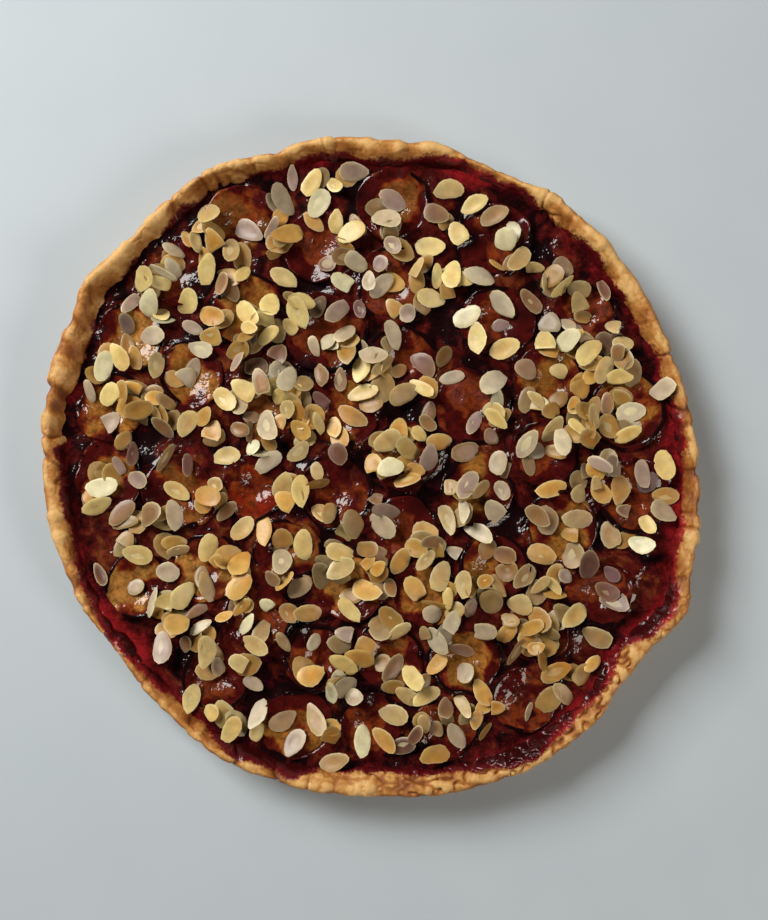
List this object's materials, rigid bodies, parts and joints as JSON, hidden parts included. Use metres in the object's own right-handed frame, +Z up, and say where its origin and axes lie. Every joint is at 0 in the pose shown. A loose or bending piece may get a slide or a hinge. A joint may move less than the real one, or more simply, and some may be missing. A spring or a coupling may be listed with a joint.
{
  "type": "plum tart",
  "caption": "Round open fruit tart in a rustic folded pastry case, filled with halved plums in set juice and strewn with flaked almonds.",
  "frame": {"origin": "middle of the pastry case's flat underside, seen from below", "axes": "+Z up out of the filling, +Y towards the top edge of the tart as seen from straight above"},
  "size_m": [0.2996, 0.3018, 0.0279],
  "materials": {
    "pastry": "baked shortcrust pastry, matt with a slight sheen",
    "plum": "cooked plum flesh and skin, wet and glossy",
    "juice": "set plum juice, dark crimson and glossy",
    "almond": "toasted flaked almond, matt"
  },
  "bodies": {
    "root": {"pastry_case": "pastry", "plum_half_01": "plum", "plum_half_02": "plum", "plum_half_03": "plum", "plum_half_04": "plum", "plum_half_05": "plum", "plum_half_06": "plum", "plum_half_07": "plum", "plum_half_08": "plum", "plum_half_09": "plum", "plum_half_10": "plum", "plum_half_11": "plum", "plum_half_12": "plum", "plum_half_13": "plum", "plum_half_14": "plum", "plum_half_15": "plum", "plum_half_16": "plum", "plum_half_17": "plum", "plum_half_18": "plum", "plum_half_19": "plum", "plum_half_20": "plum", "plum_half_21": "plum", "plum_half_22": "plum", "plum_half_23": "plum", "plum_half_24": "plum", "plum_half_25": "plum", "plum_half_26": "plum", "plum_half_27": "plum", "plum_half_28": "plum", "plum_half_29": "plum", "plum_half_30": "plum", "plum_half_31": "plum", "plum_half_32": "plum", "plum_half_33": "plum", "plum_half_34": "plum", "plum_half_35": "plum", "plum_half_36": "plum", "plum_half_37": "plum", "plum_half_38": "plum", "plum_half_39": "plum", "plum_half_40": "plum", "plum_half_41": "plum", "plum_half_42": "plum", "plum_half_43": "plum", "plum_half_44": "plum", "plum_half_45": "plum", "plum_half_46": "plum", "plum_juice": "juice"}
  },
  "joints": []
}
